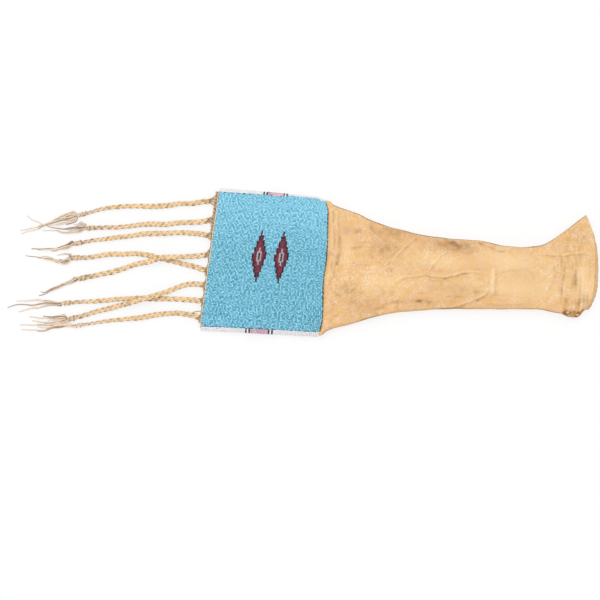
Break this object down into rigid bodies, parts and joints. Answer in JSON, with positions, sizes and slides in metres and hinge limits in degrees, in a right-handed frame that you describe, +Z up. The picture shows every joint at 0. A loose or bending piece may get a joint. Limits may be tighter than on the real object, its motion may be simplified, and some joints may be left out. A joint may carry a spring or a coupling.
{
  "type": "pipe bag",
  "caption": "Long tanned-hide pouch lying flat, with a beaded lower part, stepped diamond figures, a narrow neck, a flared open mouth and a plaited fringe.",
  "frame": {"origin": "on the surface the bag lies on, under the middle of the bag without its hanging fringe", "axes": "+X along the bag from the fringe toward the mouth, +Y across it toward the pointed corner of the mouth, +Z up out of the beaded front"},
  "size_m": [0.6956, 0.1851, 0.0227],
  "materials": {
    "hide": "matt, napped",
    "turquoise_beads": "gloss",
    "red_beads": "gloss",
    "white_beads": "gloss",
    "black_beads": "gloss",
    "pink_beads": "gloss",
    "fringe_cord": "matt fibre"
  },
  "bodies": {
    "root": {"hide_pouch": "hide", "hide_neck": "hide", "fringe_strip": "hide", "front_bead_panel": "turquoise_beads", "back_bead_panel": "turquoise_beads", "diamond_1_red": "red_beads", "diamond_1_white": "white_beads", "diamond_1_black": "black_beads", "diamond_2_red": "red_beads", "diamond_2_white": "white_beads", "diamond_2_black": "black_beads", "far_lane_1_white": "white_beads", "far_lane_2_black": "black_beads", "far_lane_3_white": "white_beads", "far_lane_4_black": "black_beads", "far_lane_5_pink": "pink_beads", "far_lane_6_black": "black_beads", "far_lane_7_white": "white_beads", "far_lane_8_black": "black_beads", "far_lane_9_white": "white_beads", "near_lane_1_white": "white_beads", "near_lane_2_black": "black_beads", "near_lane_3_white": "white_beads", "near_lane_4_black": "black_beads", "near_lane_5_pink": "pink_beads", "near_lane_6_black": "black_beads", "near_lane_7_white": "white_beads", "near_lane_8_black": "black_beads", "near_lane_9_white": "white_beads", "fringe_braid_1": "fringe_cord", "fringe_knot_1": "fringe_cord", "fringe_tail_1": "fringe_cord", "fringe_braid_2": "fringe_cord", "fringe_knot_2": "fringe_cord", "fringe_tail_2": "fringe_cord", "fringe_braid_3": "fringe_cord", "fringe_knot_3": "fringe_cord", "fringe_tail_3": "fringe_cord", "fringe_braid_4": "fringe_cord", "fringe_knot_4": "fringe_cord", "fringe_tail_4": "fringe_cord", "fringe_braid_5": "fringe_cord", "fringe_knot_5": "fringe_cord", "fringe_tail_5": "fringe_cord", "fringe_braid_6": "fringe_cord", "fringe_knot_6": "fringe_cord", "fringe_tail_6": "fringe_cord", "fringe_braid_7": "fringe_cord", "fringe_knot_7": "fringe_cord", "fringe_tail_7": "fringe_cord", "fringe_braid_8": "fringe_cord", "fringe_knot_8": "fringe_cord", "fringe_tail_8": "fringe_cord"}
  },
  "joints": []
}
